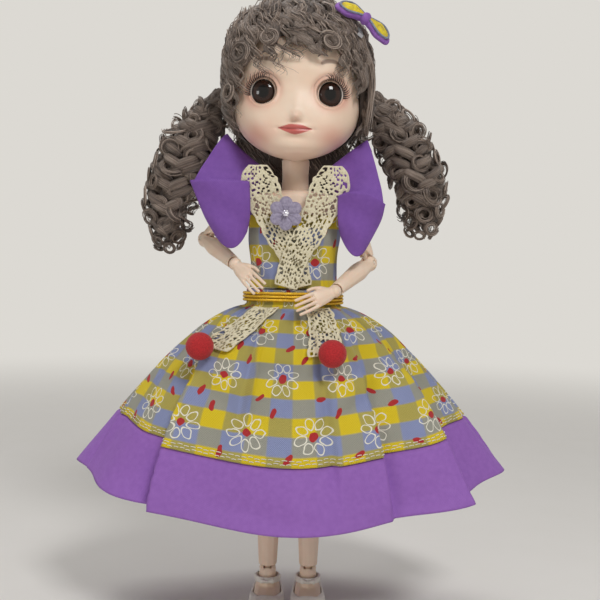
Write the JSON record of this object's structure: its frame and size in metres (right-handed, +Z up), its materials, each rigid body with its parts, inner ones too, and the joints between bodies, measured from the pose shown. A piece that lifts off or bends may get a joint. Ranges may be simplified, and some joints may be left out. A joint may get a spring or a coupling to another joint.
{
  "type": "fashion doll",
  "caption": "Ball-jointed fashion doll with curly hair, standing in a gingham party dress with a flared purple hem, lace scarf and shoulder ruffles.",
  "frame": {"origin": "on the floor between the shoes, under the middle of the skirt", "axes": "+Z up, -Y the way the doll faces, +X the doll's own left"},
  "size_m": [0.213, 0.127, 0.2983],
  "materials": {
    "skin": "matte painted vinyl",
    "joint_plastic": "moulded nylon",
    "eye": "polished acrylic",
    "hair": "heat-curled synthetic fibre",
    "gingham": "printed cotton gingham",
    "purple_cloth": "plain weave polyester cotton",
    "lace": "crocheted cotton lace",
    "gold_cord": "twisted metallic thread",
    "wool": "clipped wool pompom",
    "shoe": "soft moulded vinyl",
    "clip": "pressed steel barrette",
    "felt": "cut felt petals",
    "stone": "faceted acrylic stone"
  },
  "bodies": {
    "pelvis": {"pelvis_front": "skin", "pelvis_back": "skin", "waist_peg": "joint_plastic", "skirt_panel": "gingham", "hem_band": "purple_cloth", "waist_cord": "gold_cord", "lace_tail_left": "lace", "lace_tail_right": "lace", "pompom_left": "wool", "pompom_right": "wool"},
    "chest": {"chest_front": "skin", "chest_back": "skin", "bodice": "gingham", "ruffle_left": "purple_cloth", "ruffle_right": "purple_cloth", "lace_scarf_left": "lace", "lace_scarf_right": "lace", "brooch_flower": "felt", "brooch_gem": "stone"},
    "neck": {"neck": "skin"},
    "head": {"face": "skin", "head_back": "skin", "eye_left": "eye", "eye_right": "eye", "hair_crown": "hair", "hair_fringe": "hair", "hair_side_lock": "hair", "hair_bunch_left": "hair", "hair_bunch_right": "hair", "hair_back": "hair", "bow_clip": "clip", "hair_bow": "purple_cloth"},
    "shoulder_left": {"shoulder_peg_left": "joint_plastic"},
    "upper_arm_left": {"upper_arm_left": "skin"},
    "forearm_left": {"forearm_left": "skin", "elbow_pin_left": "joint_plastic"},
    "hand_left": {"hand_left": "skin"},
    "shoulder_right": {"shoulder_peg_right": "joint_plastic"},
    "upper_arm_right": {"upper_arm_right": "skin"},
    "forearm_right": {"forearm_right": "skin", "elbow_pin_right": "joint_plastic"},
    "hand_right": {"hand_right": "skin"},
    "hip_left": {"hip_peg_left": "joint_plastic"},
    "thigh_left": {"thigh_left": "skin"},
    "shin_left": {"shin_left": "skin", "knee_pin_left": "joint_plastic"},
    "foot_left": {"foot_left": "skin", "ankle_pin_left": "joint_plastic", "shoe_upper_left": "shoe", "shoe_sole_left": "shoe", "shoe_strap_left": "shoe"},
    "hip_right": {"hip_peg_right": "joint_plastic"},
    "thigh_right": {"thigh_right": "skin"},
    "shin_right": {"shin_right": "skin", "knee_pin_right": "joint_plastic"},
    "foot_right": {"foot_right": "skin", "ankle_pin_right": "joint_plastic", "shoe_upper_right": "shoe", "shoe_sole_right": "shoe", "shoe_strap_right": "shoe"}
  },
  "joints": [
    {"name": "waist_twist", "type": "hinge", "parent": "pelvis", "child": "chest", "pos_m": [0, 0, 0.16], "axis": [0, 0, 1], "range_deg": [-15, 15]},
    {"name": "neck_nod", "type": "hinge", "parent": "chest", "child": "neck", "pos_m": [0, 0, 0.206], "axis": [1, 0, 0], "range_deg": [-8, 6], "deforming": ["hair_back"]},
    {"name": "head_turn", "type": "hinge", "parent": "neck", "child": "head", "pos_m": [0, 0, 0.223], "axis": [0, 0, 1], "range_deg": [-22, 22], "deforming": ["hair_bunch_left", "hair_bunch_right"]},
    {"name": "shoulder_swing_left", "type": "hinge", "parent": "chest", "child": "shoulder_left", "pos_m": [0.028, 0, 0.2], "axis": [-1, 0, 0], "range_deg": [0, 80], "deforming": ["ruffle_left"]},
    {"name": "shoulder_raise_left", "type": "hinge", "parent": "shoulder_left", "child": "upper_arm_left", "pos_m": [0.028, 0, 0.2], "axis": [0, -1, 0], "range_deg": [-4, 35]},
    {"name": "elbow_bend_left", "type": "hinge", "parent": "upper_arm_left", "child": "forearm_left", "pos_m": [0.03696, 0.00398, 0.17313], "axis": [-0.7459, 0.6484, -0.1526], "range_deg": [-3, 30]},
    {"name": "wrist_turn_left", "type": "hinge", "parent": "forearm_left", "child": "hand_left", "pos_m": [0.01956, -0.01922, 0.1596], "axis": [-0.5437, -0.7249, -0.4229], "range_deg": [-30, 30]},
    {"name": "shoulder_swing_right", "type": "hinge", "parent": "chest", "child": "shoulder_right", "pos_m": [-0.028, 0, 0.2], "axis": [-1, 0, 0], "range_deg": [0, 80], "deforming": ["ruffle_right"]},
    {"name": "shoulder_raise_right", "type": "hinge", "parent": "shoulder_right", "child": "upper_arm_right", "pos_m": [-0.028, 0, 0.2], "axis": [0, 1, 0], "range_deg": [-4, 35]},
    {"name": "elbow_bend_right", "type": "hinge", "parent": "upper_arm_right", "child": "forearm_right", "pos_m": [-0.04478, 0.01637, 0.18363], "axis": [-0.7691, -0.6153, 0.173], "range_deg": [-6, 10]},
    {"name": "wrist_turn_right", "type": "hinge", "parent": "forearm_right", "child": "hand_right", "pos_m": [-0.02802, -0.00801, 0.17143], "axis": [0.5238, -0.7619, -0.381], "range_deg": [-30, 30]},
    {"name": "hip_turn_left", "type": "hinge", "parent": "pelvis", "child": "hip_left", "pos_m": [0.01, 0, 0.138], "axis": [0, 0, 1], "range_deg": [0, 12]},
    {"name": "hip_swing_left", "type": "hinge", "parent": "hip_left", "child": "thigh_left", "pos_m": [0.01, 0, 0.138], "axis": [-1, 0, 0], "range_deg": [-26, 28]},
    {"name": "knee_bend_left", "type": "hinge", "parent": "thigh_left", "child": "shin_left", "pos_m": [0.01, 0, 0.073], "axis": [1, 0, 0], "range_deg": [0, 50]},
    {"name": "ankle_tilt_left", "type": "hinge", "parent": "shin_left", "child": "foot_left", "pos_m": [0.01, 0, 0.02], "axis": [1, 0, 0], "range_deg": [-20, 20]},
    {"name": "hip_turn_right", "type": "hinge", "parent": "pelvis", "child": "hip_right", "pos_m": [-0.01, 0, 0.138], "axis": [0, 0, -1], "range_deg": [0, 12]},
    {"name": "hip_swing_right", "type": "hinge", "parent": "hip_right", "child": "thigh_right", "pos_m": [-0.01, 0, 0.138], "axis": [-1, 0, 0], "range_deg": [-26, 28]},
    {"name": "knee_bend_right", "type": "hinge", "parent": "thigh_right", "child": "shin_right", "pos_m": [-0.01, 0, 0.073], "axis": [1, 0, 0], "range_deg": [0, 50]},
    {"name": "ankle_tilt_right", "type": "hinge", "parent": "shin_right", "child": "foot_right", "pos_m": [-0.01, 0, 0.02], "axis": [1, 0, 0], "range_deg": [-20, 20]}
  ]
}
